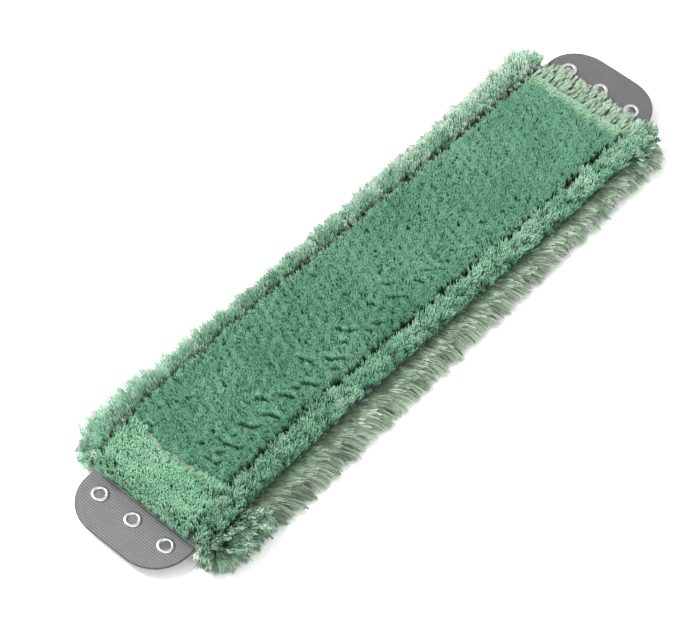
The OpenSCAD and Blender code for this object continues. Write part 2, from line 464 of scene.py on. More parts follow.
# The rear tones, ribs and grooves alike, are darker than the front ones, though both straps are the same
# webbing: painted shade on the rear tongue
WEBBING_TONES = {"front": ((0.155, 0.155, 0.155), (0.03, 0.03, 0.03)),
                 "rear": ((0.125, 0.12, 0.125), (0.012, 0.012, 0.012))}
WEBBING = {end: rib_material(f"webbing_{end}", *tones, RIB_PITCH, 0.2, layer="Weave")
           for end, tones in WEBBING_TONES.items()}
PAD_FELT = grain_material("pad_felt", (0.75, 0.75, 0.72), 0.7, 400.0, 6.0, 0.3, roughness=0.95, sheen=0.2)
THREAD = {"green_thread": thread_material("green_thread", (0.35, 0.50, 0.38)),
          "white_thread": thread_material("white_thread", (0.78, 0.78, 0.75))}
# Near black: partly the fused edge's own tone, partly painted shade on the tongue's edge
FUSED_AND_SHADED_EDGE = thread_material("fused_and_shaded_edge", (0.035, 0.035, 0.035))
NICKEL = metal_material("eyelet_nickel")


# ---- pile: tufts of strands ----

def root_grid(x_low, x_high, y_low, y_high, pitch, rng):
    """Places of tufts on a staggered grid with a little disorder."""
    rows = np.arange(y_low, y_high, pitch * 0.866)
    columns = np.arange(x_low, x_high, pitch)
    x, y = np.meshgrid(columns, rows)
    x = x + (np.arange(len(rows)) % 2)[:, None] * pitch / 2
    x = x + rng.uniform(-0.22, 0.22, x.shape) * pitch
    y = y + rng.uniform(-0.22, 0.22, y.shape) * pitch
    keep = (x >= x_low) & (x <= x_high) & (y >= y_low) & (y <= y_high)
    return x[keep], y[keep]


def pile(name, node, slot, roots, slope, height, shade, style, material, rng, droop=0.0,
         over_tongue=None):
    """Tufts of strands. slope is a tuft's sideways run for each unit of rise, and droop a
    further rise of its tip. over_tongue names the end whose tongue the tips lie on, if any."""
    count, strands = len(roots), style.strands
    rise = np.repeat(height, strands) * rng.uniform(1 - style.ragged, 1, count * strands)
    lean = np.repeat(slope, strands, axis=0) + rng.normal(0, style.stray, (count * strands, 2))
    start = np.repeat(roots, strands, axis=0)
    sag = np.repeat(np.broadcast_to(droop, count), strands)
    turn = rng.uniform(0, 2 * math.pi, count * strands)
    out = np.sqrt(rng.uniform(0.05, 1, count * strands))
    steps = np.array(style.rings + (1.0,))
    points = []
    for t in steps:
        angle = turn + style.twist * 2 * math.pi * t
        spread = out * mix(style.root_r, style.tip_r, t ** 1.5)
        up = rise * t
        points.append(start + stack(lean[:, 0] * up + np.cos(angle) * spread,
                                    lean[:, 1] * up + np.sin(angle) * spread, up + sag * t ** 2))
    paths = np.stack(points, axis=1)
    paths[..., 2] = np.maximum(paths[..., 2], style.radius)
    tone = np.repeat(shade, strands) + rng.normal(0, style.mottle, count * strands)
    radii = style.radius * (0.8 + 0.2 * steps[:-1])
    faces = len(tube_faces(len(steps) - 1, 3, False))
    groups = math.ceil(len(paths) * faces / MAX_TRIANGLES)
    order = np.argsort(np.repeat(roots[:, 0], strands), kind="stable")
    for number, chosen in enumerate(np.array_split(order, groups), 1):
        label = name if groups == 1 else f"{name}_{number}"
        piece = tubes(label, paths[chosen], radii, tone[chosen], material)
        if over_tongue:
            bend_in(piece, over_tongue, slot, node)
        else:
            fit_in(piece, BODY, slot, node)


# A tuft's strands, radius at the root and at the tips and turns of twist, and its strands'
# radius, stray lean, heights of the rings, unevenness of length and of shade
Style = namedtuple("Style", "strands root_r tip_r twist radius stray rings ragged mottle")
CUT_PILE = Style(12, 0.7, 1.5, 0.1, 0.24, 0.04, (0.0, 0.93), 0.06, 0.07)
STRIP_PILE = Style(14, 0.7, 1.7, 0.2, 0.25, 0.10, (0.0, 0.5, 0.94), 0.20, 0.10)
FRINGE_PILE = Style(12, 0.6, 1.0, 0.3, 0.26, 0.12, (0.0, 0.25, 0.5, 0.75, 0.95), 0.25, 0.18)
YARN_PILE = Style(18, 1.2, 1.5, 0.6, 0.30, 0.02, (0.0, 0.33, 0.66, 0.95), 0.08, 0.07)
FUZZ = Style(6, 0.6, 0.9, 0.0, 0.22, 0.25, (0.0, 0.9), 0.3, 0.10)
CORNER_PILE = Style(26, 1.2, 2.5, 0.6, 0.28, 0.05, (0.0, 0.33, 0.66, 0.95), 0.25, 0.10)

PARTING_RUN = unit(np.array([0.58, -0.81]))
PARTING_SIDE = np.array([-PARTING_RUN[1], PARTING_RUN[0]])
PARTING_COUNT = 32
PARTING_PITCH = 10.5
PARTING_WIDTH = 1.8
PARTING_SLOPE = 0.26
STRAY_PARTINGS = 10


def make_partings():
    """Short lines where the centre pile opens, as (x, y, length, strength). Most lie in the
    front half beside the right gutter."""
    rng = default_rng(17)
    found = []
    for k in range(PARTING_COUNT):
        x = FRONT_SEAM + 12 + (k + rng.uniform(-0.4, 0.4)) * PARTING_PITCH
        fade = 1 - smooth(-60, 130, x)
        y = -PANEL_Y + 6 + rng.uniform(0, 14) + 22 * rng.uniform(0, 1) ** 3 * fade
        length = rng.uniform(7, 12) + 12 * rng.uniform(0, 1) * fade
        found.append((x, y, length, 0.35 + 0.65 * fade))
    for _ in range(STRAY_PARTINGS):
        found.append((FRONT_SEAM + rng.uniform(4, 45), rng.uniform(-24, 30), rng.uniform(5, 11), 0.8))
    return found


PARTINGS = make_partings()


def parting_slope(x, y):
    """Slope that opens the pile on both sides of each parting."""
    slope = np.zeros((len(x), 2))
    for px, py, length, strength in PARTINGS:
        from_middle = stack(x - px, y - py)
        along = from_middle @ PARTING_RUN
        away = from_middle @ PARTING_SIDE + 0.9 * np.sin(along / 2.5 + px)
        near = smooth(length / 2, length / 2 - 4, np.abs(along)) * np.exp(-np.abs(away) / PARTING_WIDTH)
        slope += (PARTING_SLOPE * strength * near * np.sign(away))[:, None] * PARTING_SIDE
    return slope


def holes(rng, count, share):
    """1 for most tufts and less for the few that stand low among the others."""
    return np.where(rng.uniform(0, 1, count) < share, rng.uniform(0.55, 0.8, count), 1.0)


def make_centre_pile():
    """Short dense pile between the gutters."""
    rng = default_rng(21)
    x, y = root_grid(FRONT_SEAM + 0.4, REAR_SEAM - 0.4, -PANEL_Y, PANEL_Y, 2.1, rng)
    edge = smooth(PANEL_Y - 4, PANEL_Y, np.abs(y)) * np.sign(y)
    bend = 0.06 * wobble(x, y, 26, 4) + 0.05 * wobble(x, y, 9, 8)
    slope = stack(-0.7 * comb(x) + bend, 0.8 * comb(x) - bend + 0.05 * edge) + parting_slope(x, y)
    full = holes(rng, len(x), 0.05)
    height = CENTRE_H * (1 + 0.03 * wobble(x, y, 18, 5) - 0.07 * np.abs(edge)) * full
    shade = 0.45 + 0.13 * wobble(x, y, 70, 6) + 0.09 * wobble(x, y, 12, 7) + rng.normal(0, 0.06, len(x))
    # Low tufts are darker: painted shade in the holes among the tufts. Tufts along the gutters are paler,
    # more on the left: painted light on the panel's edges.
    shade = shade - 0.4 * (1 - full) + np.where(y > 0, 0.35, 0.12) * np.abs(edge)
    pile("centre_pile_tufts", "centre_pile", "pile", rooted(x, y, sew_shift(x)), slope, height,
         shade, CUT_PILE, FIBRE["centre_microfibre"], rng)


def clump_pull(x, y, pitch, seed):
    """Offset along x from each place to the middle of its clump, and 0 to 1 from a clump's
    edge to its middle. The clumps are uneven in size."""
    bent = x + 0.55 * pitch * wobble(x, y, pitch * 2.4, seed)
    part = bent / pitch - np.floor(bent / pitch) - 0.5
    return -part * pitch, 1 - np.abs(part) * 2


# Outward lean of each strip's tufts beside the gutter and beside the fringe, and how far
# they lean together in clumps
STRIP_LIFT = {"left": (0.14, 0.26), "right": (0.06, 0.16)}
STRIP_BUNCH = {"left": 0.55, "right": 0.60}


def left_flare(x):
    """Extra outward lean of the left strip, which fans out towards both of its ends."""
    front = 0.85 * smooth(-40, -240, x)
    rear = 0.40 * smooth(140, 185, x) + 0.35 * smooth(200, 212, x) * smooth(246, 232, x)
    return front + rear


def left_look(x, out, core):
    """Share of the height and shade of the left strip's tufts, low inside and pale outside. The darker
    tone a little way out from the gutter is painted shade on the strip's inner side, and the lower tone
    between clumps is painted shade in the gaps.
    """
    height = mix(0.5, 1.0, smooth(0, 0.28, out)) * mix(0.85, 1.0, core)
    shade = 0.12 + 0.18 * smooth(-80, 200, x) + 0.34 * smooth(0.3, 0.1, out)
    shade = shade + 0.30 * smooth(0.2, 0.6, out) + 0.34 * smooth(0.6, 1.0, out)
    return height, shade + 0.42 * core


def right_look(x, out, core, seed):
    """Share of the height and shade of the right strip's tufts, with notches in its edge. The darker outer
    side, darker still in the gaps near the front, the dark notches and the lower tone between clumps are
    painted shade.
    """
    front = smooth(-120, -200, x)
    notch = smooth(0.15, 0.6, wobble(x, 0, 11, seed)) * smooth(0.55, 1, out)
    height = (1 - mix(0.25, 0.50, front) * out * (1 - core)) * (1 - 0.45 * notch)
    shade = 0.46 + 0.18 * core - 0.30 * smooth(0.75, 1, out)
    shade = shade - 0.35 * smooth(0.6, 1, out) * front * (1 - core)
    return height, shade - 0.70 * notch


def make_side_strip(side, name, seed):
    """Strip of long pile in uneven clumps, where out runs from 0 at the gutter to 1 at the
    fringe. It is as wide as the shifted centre panel leaves it."""
    rng = default_rng(seed)
    left = side > 0
    inner, outer = STRIP_LOW[1] + left, STRIP_HIGH[1] + 1
    x, out = root_grid(-BODY_X + 3, BODY_X - 4, 0, outer - inner, 2.6, rng)
    out = out / (outer - inner)
    if left:
        rounded = x > -BODY_X + 4 + 8 * out ** 2
        x, out = x[rounded], out[rounded]
    outer_y = np.minimum(side * outer + sew_shift(x), CLOTH_Y - 1.5)
    y = mix(side * inner + sew_shift(x), outer_y, out)
    pull, core = clump_pull(x, 1.5 * y, 12, seed)
    lift = mix(*STRIP_LIFT[name], out)
    flare = left_flare(x) * out * left
    end = smooth(212, BODY_X, np.abs(x)) * np.sign(x)
    slope_x = STRIP_BUNCH[name] * out * pull / STRIP_H + mix(0.04, 0.36, x > 0) * end - 0.2 * comb(x)
    slope_x = slope_x + 0.12 * wobble(x, 2 * y, 17, seed + 3)
    slope_y = flare + side * lift * (1 + 0.3 * np.abs(end)) + 0.4 * comb(x) * (1 - np.abs(end))
    slope_y = slope_y + 0.10 * wobble(x, 2 * y, 15, seed + 4)
    share, shade = left_look(x, out, core) if left else right_look(x, out, core, seed + 5)
    height = STRIP_H * (0.84 + 0.12 * core + 0.08 * wobble(x, y, 20, seed + 1) - 0.08 * out) * share
    shade = shade + 0.14 * wobble(x, y, 42, seed + 2) + 0.12 * np.abs(end) + rng.normal(0, 0.09, len(x))
    pile(f"side_pile_tufts_{name}", f"side_pile_{name}", "pile", rooted(x, y),
         stack(slope_x, slope_y), height, shade, STRIP_PILE,
         FIBRE["pale_strip_microfibre" if left else "strip_microfibre"], rng)


# How far the yarns at each corner splay, how far they run on along the long edge, and
# their length beside the strip's
CORNER_YARNS = {"front_left": (0.65, 6, 0.7), "front_right": (0.85, 34, 1.0),
                "rear_left": (0.50, 4, 0.85), "rear_right": (0.60, 12, 1.0)}
CORNER_ARC = 20.0     # length of the arc that the yarns stand along
CORNER_INSET = 15.0   # from the cloth's edges to the middle of the arc
YARNS_PER_MM = 2.7
LEAN_LIMIT = 1.35     # furthest turn of a yarn from sideways to endways, clear of the tongue


def make_corner(end, side_name, seed):
    """Yarns at a corner of the cloth, splayed round it like the points of a star."""
    rng = default_rng(seed)
    x_sign, y_sign = ENDS[end], SIDES[side_name]
    left = side_name == "left"
    splay, run, size = CORNER_YARNS[f"{end}_{side_name}"]
    count = int(YARNS_PER_MM * (CORNER_ARC + run))
    place = rng.uniform(-run, CORNER_ARC, count)
    turn = np.maximum(place, 0) / CORNER_ARC * math.pi / 2
    depth = rng.uniform(0, 1, count)
    from_centre = mix(4, 13.5, depth ** 0.7)
    x = BODY_X - CORNER_INSET + np.minimum(place, 0) + np.sin(turn) * from_centre
    y = CLOTH_Y - CORNER_INSET + np.cos(turn) * from_centre
    bunch = 0.45 * np.sin(place * 0.9 + seed) + rng.normal(0, 0.15, count)
    splay = splay * mix(0.5, 1.3, depth)
    lean = np.minimum(turn + bunch, LEAN_LIMIT)
    slope = stack(x_sign * np.sin(lean) * splay, y_sign * np.cos(lean) * splay)
    height = size * STRIP_H * rng.uniform(0.7, 1.0, count) * mix(1.0, 0.85, splay)
    roots = stack(x_sign * x, y_sign * y, PILE_Z - ROOT_DEPTH)
    droop = -11 * splay ** 2 * mix(0.3, 1.0, depth)
    shade = 0.40 + 0.34 * np.cos(place * 0.9 + seed) + rng.normal(0, 0.18, count) + 0.2 * left
    pile(f"corner_yarns_{end}_{side_name}", f"side_pile_{side_name}", "pile", roots, slope, height,
         shade, CORNER_PILE, FIBRE["strip_microfibre" if left else "corner_yarn"], rng, droop)


FRINGE_DEPTH = 14.0   # from the strip to the cloth's edge
FAN_TUFTS = 420       # in the fans round the corners of one side

# Each fringe's reach towards the ends of the mop, scale of all its reach and lift of its
# fans' tips
FRINGE_REACH = {"left": (1.0, 0.8, 5), "right": (5.0, 1.0, 0)}


def fringe_places(side, rng):
    """For each tuft of a fringe: x, distance from the middle line, row from 0 beside the
    strip to 1 at the edge, and the outward direction along x and y."""
    edge_x = BODY_X - CLOTH_CORNER
    x, row = root_grid(-edge_x, edge_x, 0, FRINGE_DEPTH, 2.1, rng)
    row = row / FRINGE_DEPTH
    inner = FRINGE_LOW[1] - 1 - max(0, -side) * sew_shift(x)
    across = mix(inner, CLOTH_Y + 0.8, row)
    turn = rng.uniform(0, math.pi / 2, FAN_TUFTS)
    end = rng.choice([-1.0, 1.0], FAN_TUFTS)
    from_centre = rng.uniform(4, 10, FAN_TUFTS)
    straight = (x, across, row, 0 * x, 0 * x + 1)
    fan = (end * (edge_x + from_centre * np.sin(turn)),
           CLOTH_Y - CLOTH_CORNER + from_centre * np.cos(turn),
           np.ones(FAN_TUFTS), end * np.sin(turn), np.cos(turn))
    return [np.concatenate(pair) for pair in zip(straight, fan)]


def make_fringe(side, name, seed):
    """Rows of tufts combed outward over the binding, the outer ones falling to the floor,
    and a short fan of them round each corner of the cloth."""
    rng = default_rng(seed)
    x, across, row, away_x, away_y = fringe_places(side, rng)
    straight = away_x == 0
    pull, core = clump_pull(x, 0, 16, seed)
    end_reach, scale, tip_lift = FRINGE_REACH[name]
    fan_reach = mix(end_reach, 13.0, away_y)
    reach = np.where(straight, mix(9.0, FRINGE_HIGH[1] - CLOTH_Y + 1.5, row), fan_reach)
    reach = scale * reach * (0.84 + 0.16 * core * row + 0.08 * wobble(x, across, 9, seed + 1))
    rise = rng.uniform(3.0, 6.0, len(x))
    sweep = np.where(straight, 0.75 + 0.25 * wobble(x, 0, 60, seed + 5), 0) * reach
    slope_x = (sweep + away_x * reach + 0.22 * pull * straight) / rise
    slope = stack(slope_x, side * away_y * reach / rise)
    slope = slope + rng.normal(0, 0.25, slope.shape)
    roots = stack(x, side * across, PILE_Z - 0.5 + 0.8 * row)
    tip_z = mix(PILE_Z + 2.0, 0.8 + 4 * rng.uniform(0, 1, len(x)) ** 2, smooth(0.35, 0.9, row))
    droop = tip_z + tip_lift * np.abs(away_x) - PILE_Z - rise
    # Rows beside the strip are darker: partly the fringe's own brownish tone, partly painted shade under
    # the strip. The fringe is also darker towards the front.
    shade = -0.06 + 0.62 * smooth(0.0, 0.65, row) + 0.12 * core * row - 0.44 * smooth(-90, -215, x)
    shade = shade + 0.12 * wobble(x, across, 30, seed + 2) + rng.normal(0, 0.20, len(x))
    pile(f"fringe_strands_{name}", f"fringe_{name}", "fringe", roots, slope, rise, shade,
         FRINGE_PILE, FIBRE["fringe_microfibre"], rng, droop)


def make_front_panel():
    """Cut pile between the front ridge and the front tongue, lower where the ridge is bare."""
    low, high = node_box("end_pile_front")
    rng = default_rng(51)
    x, y = root_grid(low[0] + 0.4, high[0] - 0.2, low[1] - 1, high[1] + 1, 2.2, rng)
    out = (high[0] - x) / (high[0] - low[0])
    at_ridge = smooth(0.15, 0.0, out)
    bare = smooth(27, 20, np.abs(y - 2 * wobble(y, 0, 14, 56)))
    lean_x = -0.03 - 0.26 * smooth(0.7, 1, out) + 0.05 * wobble(x, y, 12, 55)
    lean_x = lean_x + 0.35 * at_ridge * (1 - bare)
    lean_y = 0.15 * comb(x) + 0.07 * wobble(x, y, 20, 52)
    full = holes(rng, len(x), 0.03 + 0.22 * smooth(-24, -38, y))
    edges = 0.12 * smooth(0.85, 1.0, out) + 0.25 * at_ridge * bare
    height = (high[2] - PILE_Z) * (0.97 + 0.03 * wobble(x, y, 14, 53) - edges) * full
    # Low tufts are darker, most of them at the right end: painted shade in the holes among the tufts.
    shade = 0.52 + 0.16 * wobble(x, y, 34, 54) + rng.normal(0, 0.06, len(x)) - 0.4 * (1 - full)
    pile("end_pile_tufts_front", "end_pile_front", "pile", rooted(x, y, sew_shift(x)),
         stack(lean_x, lean_y), height, shade, CUT_PILE, FIBRE["end_microfibre"], rng)


def ridge_surface(end, turn, y):
    """Points on the rolled fold of ground cloth between the centre and an end panel. turn
    runs from 0 at its rear foot over its top to pi at its front foot."""
    low, high = node_box(f"cross_seam_{end}")
    middle = (low[0] + high[0]) / 2
    half = (high[0] - low[0]) / 2 + 0.8
    rise = high[2] - low[2] + 2
    sag = 1 + 0.06 * wobble(y, 0, 18, 91)
    x = middle + 0.8 * wobble(y, 0, 30, 92) + half * np.cos(turn)
    z = low[2] - 0.3 + rise * sag * np.sin(turn) ** 0.7
    return stack(x, y + sew_shift(middle), z)


def make_ridge_fuzz(end, lean, seed):
    """Short fibres over a ridge."""
    low, high = node_box(f"cross_seam_{end}")
    rng = default_rng(seed)
    count = int(1.1 * (high[1] - low[1]) * (high[0] - low[0] + 5))
    turn = math.pi * rng.uniform(0.06, 0.94, count)
    y = rng.uniform(low[1], high[1], count)
    roots = ridge_surface(end, turn, y) - [0, 0, 0.4]
    slope_x = lean + 0.9 * np.cos(turn) + 0.4 * wobble(y, turn, 12, seed + 1)
    slope = stack(slope_x, 0.3 * wobble(y, turn, 16, seed + 2))
    height = FUZZ_H * (1 + 0.2 * wobble(y, turn, 10, seed + 3))
    shade = 0.52 + 0.12 * wobble(y, turn, 18, seed + 4) + rng.normal(0, 0.10, count)
    pile(f"cross_seam_fuzz_{end}", f"cross_seam_{end}", "ground", roots, slope, height, shade,
         FUZZ, FIBRE[f"{end}_seam_fluff"], rng)


def make_rear_panel():
    """Loose twisted yarns, combed out over the start of the rear tongue."""
    low, high = node_box("end_pile_rear")
    rng = default_rng(61)
    x, y = root_grid(low[0] + 0.5, high[0] - 1.5, low[1] - 3, high[1] + 4, 3.1, rng)
    x = x - 7 * smooth(high[1] - 8, high[1] + 1, y)
    pull, core = clump_pull(y, x, 9, 62)
    rise = 8.0 + rng.uniform(-1.5, 2.5, len(x))
    reach = 9.0 + 1.5 * core + 1.5 * wobble(x, y, 15, 63) + rng.uniform(-1, 1, len(x))
    slope = stack(reach / rise, (0.25 * pull - 0.8) / rise)
    shade = 0.50 + 0.12 * core + rng.normal(0, 0.10, len(x))
    pile("end_pile_yarns_rear", "end_pile_rear", "pile", rooted(x, y), slope, rise, shade,
         YARN_PILE, FIBRE["end_yarn"], rng, droop=-3.5, over_tongue="rear")


# ---- cloth layers ----

def corner_cut(x, end, radius=CLOTH_CORNER):
    """How far the long edges draw in at x, on a cloth with round corners that ends at end."""
    into = np.clip(np.abs(x) - (end - radius), 0, radius)
    return radius - np.sqrt(radius ** 2 - into ** 2)


def layer_grid(low, high):
    """Middle grid of a cloth layer with round corners, which follows the ground's waves."""
    corner = high[0] - CLOTH_CORNER * (1 - np.cos(np.linspace(0, math.pi / 2, 9)))[::-1]
    x = np.concatenate([-corner[::-1], span(-corner[0], corner[0], 4)[1:-1], corner])
    gx, across = np.meshgrid(x, span(-1, 1, 1 / 16), indexing="ij")
    gy = across * (high[1] - corner_cut(gx, high[0]))
    return stack(gx, gy, (low[2] + high[2]) / 2 + ground(gx, gy))


def make_layer(name, node, material, slot):
    """One cloth of the body."""
    low, high = node_box(node)
    middle = layer_grid(low, high)
    piece = cloth_sheet(name, middle, high[2] - low[2], material)
    fit_in(piece, BODY, slot, node)
    cut_size(middle)


def make_pad():
    """Felt pad between the cloths, thinner towards its rounded edge."""
    middle = layer_grid(PAD_LOW, PAD_HIGH)
    edge = np.minimum(PAD_HIGH[0] - np.abs(middle[..., 0]), PAD_HIGH[1] - np.abs(middle[..., 1]))
    lift = np.zeros_like(middle)
    lift[..., 2] = (PAD_HIGH[2] - PAD_LOW[2]) / 2 * (0.35 + 0.6 * smooth(0, 9, edge))
    piece = solid_sheet("absorbent_pad_felt", middle + lift, middle - lift, PAD_FELT)
    fit_in(piece, BODY, "pad", "absorbent_pad")


def make_pocket(end, sign):
    """Pocket cloth: flat on the floor, drawn up to the backing along its three sewn sides."""
    low, high = node_box(f"pocket_{end}")
    mouth, closed = (high[0], low[0]) if sign < 0 else (low[0], high[0])
    thick = 1.0
    s, y = np.meshgrid(span(0, 1, 1 / 44), span(low[1], high[1], 2.4), indexing="ij")
    x = mix(mouth, closed, s)
    to_edge = np.minimum(high[1] - np.abs(y), np.abs(closed - x))
    drawn = 1 - smooth(0, 9, to_edge)
    crease = 0.5 * wobble(x, y, 26, 71) * smooth(0, 12, to_edge) + 0.5
    z = thick / 2 + 0.1 + crease * 0.6 + drawn * (high[2] - thick - 0.8)
    z = mix(MOUTH_Z, z, smooth(7, 18, np.abs(x - mouth)))
    middle = stack(x, y, z)
    piece = cloth_sheet(f"pocket_cloth_{end}", middle, thick, POCKET_CLOTH)
    fit_in(piece, BODY, "pocket", f"pocket_{end}")
    cut_size(middle)
    return mouth


# ---- tapes, ridges and stitches ----

def loft(name, sections, material):
    """Skin through sections (rows, points, 3), each a closed ring, with flat ends."""
    rows, ring, _ = sections.shape
    middles = np.stack([sections[0].mean(0), sections[-1].mean(0)])
    points = np.concatenate([sections.reshape(-1, 3), middles])
    k = np.arange(ring)
    after = (k + 1) % ring
    start, last = rows * ring, (rows - 1) * ring
    triangles = np.concatenate([
        wall_faces(rows, ring), stack(after, k, start), stack(last + k, last + after, start + 1)])
    return add_object(name, points, triangles, material)


def arc_points(centre, radius, start, stop, count):
    """Points from the angle start to stop, in degrees."""
    turn = np.radians(np.linspace(start, stop, count))
    return [(centre[0] + radius * math.cos(t), centre[1] + radius * math.sin(t)) for t in turn]


def tape_section(line, thickness):
    """Closed ring round an open line of points (y, z)."""
    line = np.array(line)
    along = np.gradient(line, axis=0)
    half = unit(stack(-along[:, 1], along[:, 0])) * thickness / 2
    return np.concatenate([line + half, (line - half)[::-1]]).T


def make_binding(side, name):
    """Tape folded round the cloth edges, from the back over the edge to the face."""
    thick = 0.8
    half = thick / 2
    under_y, over_y = BINDING_LOW[1], CLOTH_Y - 4
    low_z, high_z = BINDING_LOW[2] + half, BINDING_HIGH[2] - half
    bend = (high_z - low_z) / 2
    edge = CLOTH_Y + half - bend
    arc = arc_points((edge, (low_z + high_z) / 2), bend, -90, 90, 13)
    line = [(under_y, low_z), ((under_y + edge) / 2, low_z), *arc, (over_y, high_z)]
    y, z = tape_section(line, thick)
    reach = BACK_HIGH[0] - CLOTH_CORNER / 2
    x = span(-reach, reach, 3)[:, None]
    drawn = 0.25 * wobble(x, 0, 40, 81) - corner_cut(x, BACK_HIGH[0])
    sections = stack(x, side * (y + drawn), z + ground(x, side * CLOTH_Y))
    piece = loft(f"edge_binding_tape_{name}", sections[:, ::side], BINDING_TAPE)
    fit_in(piece, BODY, "binding", f"edge_binding_{name}")
    reach = reach - 6
    rows = {"under": (under_y + 1.6, low_z - half), "over": (over_y + 1.2, high_z + half)}
    for label, (y, z) in rows.items():
        stitches(f"binding_stitches_{name}_{label}", (-reach, side * y, z), (reach, side * y, z),
                 "green_thread")


def make_ridge(end):
    """Rolled fold of ground cloth that closes a cross seam."""
    low, high = node_box(f"cross_seam_{end}")
    turn, y = np.meshgrid(np.linspace(0, math.pi, 15), span(low[1], high[1], 2))
    piece = loft(f"cross_seam_roll_{end}", ridge_surface(end, turn, y), SEAM_CLOTH[end])
    fit_in(piece, BODY, "ground", f"cross_seam_{end}")


def stitches(name, start, end, slot, *nodes):
    """Row of lockstitches from start to end: short humps of thread with gaps."""
    start, end = np.array(start), np.array(end)
    count = int(np.linalg.norm(end - start) / STITCH_PITCH)
    run = unit(end - start)
    first = start + run * (np.arange(count)[:, None] * STITCH_PITCH + 0.4)
    steps = np.array([0.0, 0.12, 0.5, 0.88, 1.0]) * (STITCH_PITCH - 0.8)
    hump = np.array([-0.25, 0.05, 0.20, 0.05, -0.25]) * (1 if start[2] > BACK_HIGH[2] else -1)
    paths = first[:, None] + run * steps[None, :, None]
    paths[..., 2] += hump[None]
    radii = np.array([0.8, 1.0, 0.8]) * THREAD_RADIUS
    piece = tubes(name, paths, radii, np.full(count, 0.5), THREAD[slot], sides=6, pointed_start=True)
    fit_in(piece, BODY, slot, *nodes)


def make_gutter_seam(name):
    """Sewn line along a gutter, seen again on the back."""
    low, high = node_box(f"gutter_seam_{name}")
    y = (low[1] + high[1]) / 2
    ends = (low[0] + 1, high[0] - 1)
    top = [(x, y + sew_shift(x), PILE_Z + 0.1) for x in ends]
    stitches(f"gutter_stitches_{name}", *top, "green_thread", f"gutter_seam_{name}")
    under = [(x, y, BACK_LOW[2] - 0.1) for x in ends]
    stitches(f"back_stitches_{name}", *under, "white_thread")


# ---- tongues and eyelets ----

def tongue_wave(sign, free_x, x, y):
    """How far a tongue's free part rises and dips at the distance x from the middle."""
    return 0.25 * wobble(x, y, 60, 101 + sign) * smooth(BODY_X, free_x, x)


def make_tongue(end, sign):
    """One webbing strap, sewn in between the cloths and free past the bend."""
    low, high = node_box(f"tongue_{end}")
    free_x = np.abs([low[0], high[0]]).max()
    root_x = np.abs(node_box(f"tongue_root_{end}"))[:, 0].min()
    half = high[1]
    corner_x = free_x - TONGUE_CORNER
    turn = np.linspace(0, math.pi / 2, 90)[1:]
    x = np.concatenate([span(root_x, corner_x, 0.45), corner_x + TONGUE_CORNER * np.sin(turn)])
    across = np.linspace(-1, 1, 150)
    gx = np.repeat(x[:, None], len(across), axis=1)
    gy = across[None] * (half - corner_cut(x, free_x, TONGUE_CORNER))[:, None]
    rib = 0.14 * np.abs(np.sin(math.pi * gx / RIB_PITCH)) + 0.05 * np.sin(2 * math.pi * gy / WEFT_PITCH)
    middle = TONGUE_Z + tongue_wave(sign, free_x, gx, gy)
    thick = (high[2] - low[2]) / 2 - 0.12
    top = stack(sign * gx, gy, middle + thick + rib)
    bottom = stack(sign * gx, gy, middle - thick - rib)
    uv = stack(gx, gy).reshape(-1, 2) * MM
    piece = solid_sheet(f"tongue_webbing_{end}", top, bottom, WEBBING[end], np.concatenate([uv, uv]))
    cut_holes(piece, end)
    bend_in(piece, end, "webbing", f"tongue_{end}", f"tongue_root_{end}")
    make_rim(end, sign, free_x, half)


def make_rim(end, sign, free_x, half):
    """Dark edge round a tongue, where the webbing was cut hot and its threads fused. Its near-black tone
    is partly the fused edge's own and partly painted shade on the tongue's edge.
    """
    corner_x, corner_y = free_x - TONGUE_CORNER, half - TONGUE_CORNER
    corner = arc_points((corner_x, corner_y), TONGUE_CORNER, 90, 0, 60)[1:]
    quarter = np.array([(x, half) for x in span(BODY_X + 6, corner_x, 1)] + corner)
    tip = [(free_x, y) for y in np.linspace(corner_y, -corner_y, 42)[1:-1]]
    line = np.concatenate([quarter, tip, quarter[::-1] * [1, -1]])
    ahead = np.gradient(line, axis=0)
    away = unit(stack(-ahead[:, 1], ahead[:, 0]))
    along = np.concatenate([[0], np.cumsum(np.linalg.norm(np.diff(line, axis=0), axis=1))])
    bead = 0.45 + 0.12 * np.sin(along * 2 * math.pi / RIB_PITCH)
    turn = np.arange(8) * math.pi / 4
    ring = line[:, None] + away[:, None] * (np.cos(turn) * bead[:, None])[..., None]
    wave = tongue_wave(sign, free_x, *line.T)[:, None]
    sections = stack(sign * ring[..., 0], ring[..., 1], TONGUE_Z + wave + 0.95 * np.sin(turn))
    rim = loft(f"tongue_edge_{end}", sections[:, ::sign], FUSED_AND_SHADED_EDGE)
    fit_in(rim, f"tongue_{end}", "webbing", f"tongue_{end}")


def cut_holes(piece, end):
    """Cuts the three holes for the eyelets' barrels through a tongue."""
    radius = (EYELET_BORE + EYELET_WALL + 0.1) * MM
    for place in PLACES:
        low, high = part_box(f"eyelet_{end}_{place}")
        middle = (low + high) / 2
        bpy.ops.mesh.primitive_cylinder_add(vertices=48, radius=radius, depth=12 * MM, location=middle)
        cutter = bpy.context.object
        cut = piece.modifiers.new("hole", "BOOLEAN")
        cut.operation = "DIFFERENCE"
        cut.solver = "FAST"
        cut.object = cutter
        with bpy.context.temp_override(object=piece, active_object=piece):
            bpy.ops.object.modifier_apply(modifier=cut.name)
        bpy.data.objects.remove(cutter)


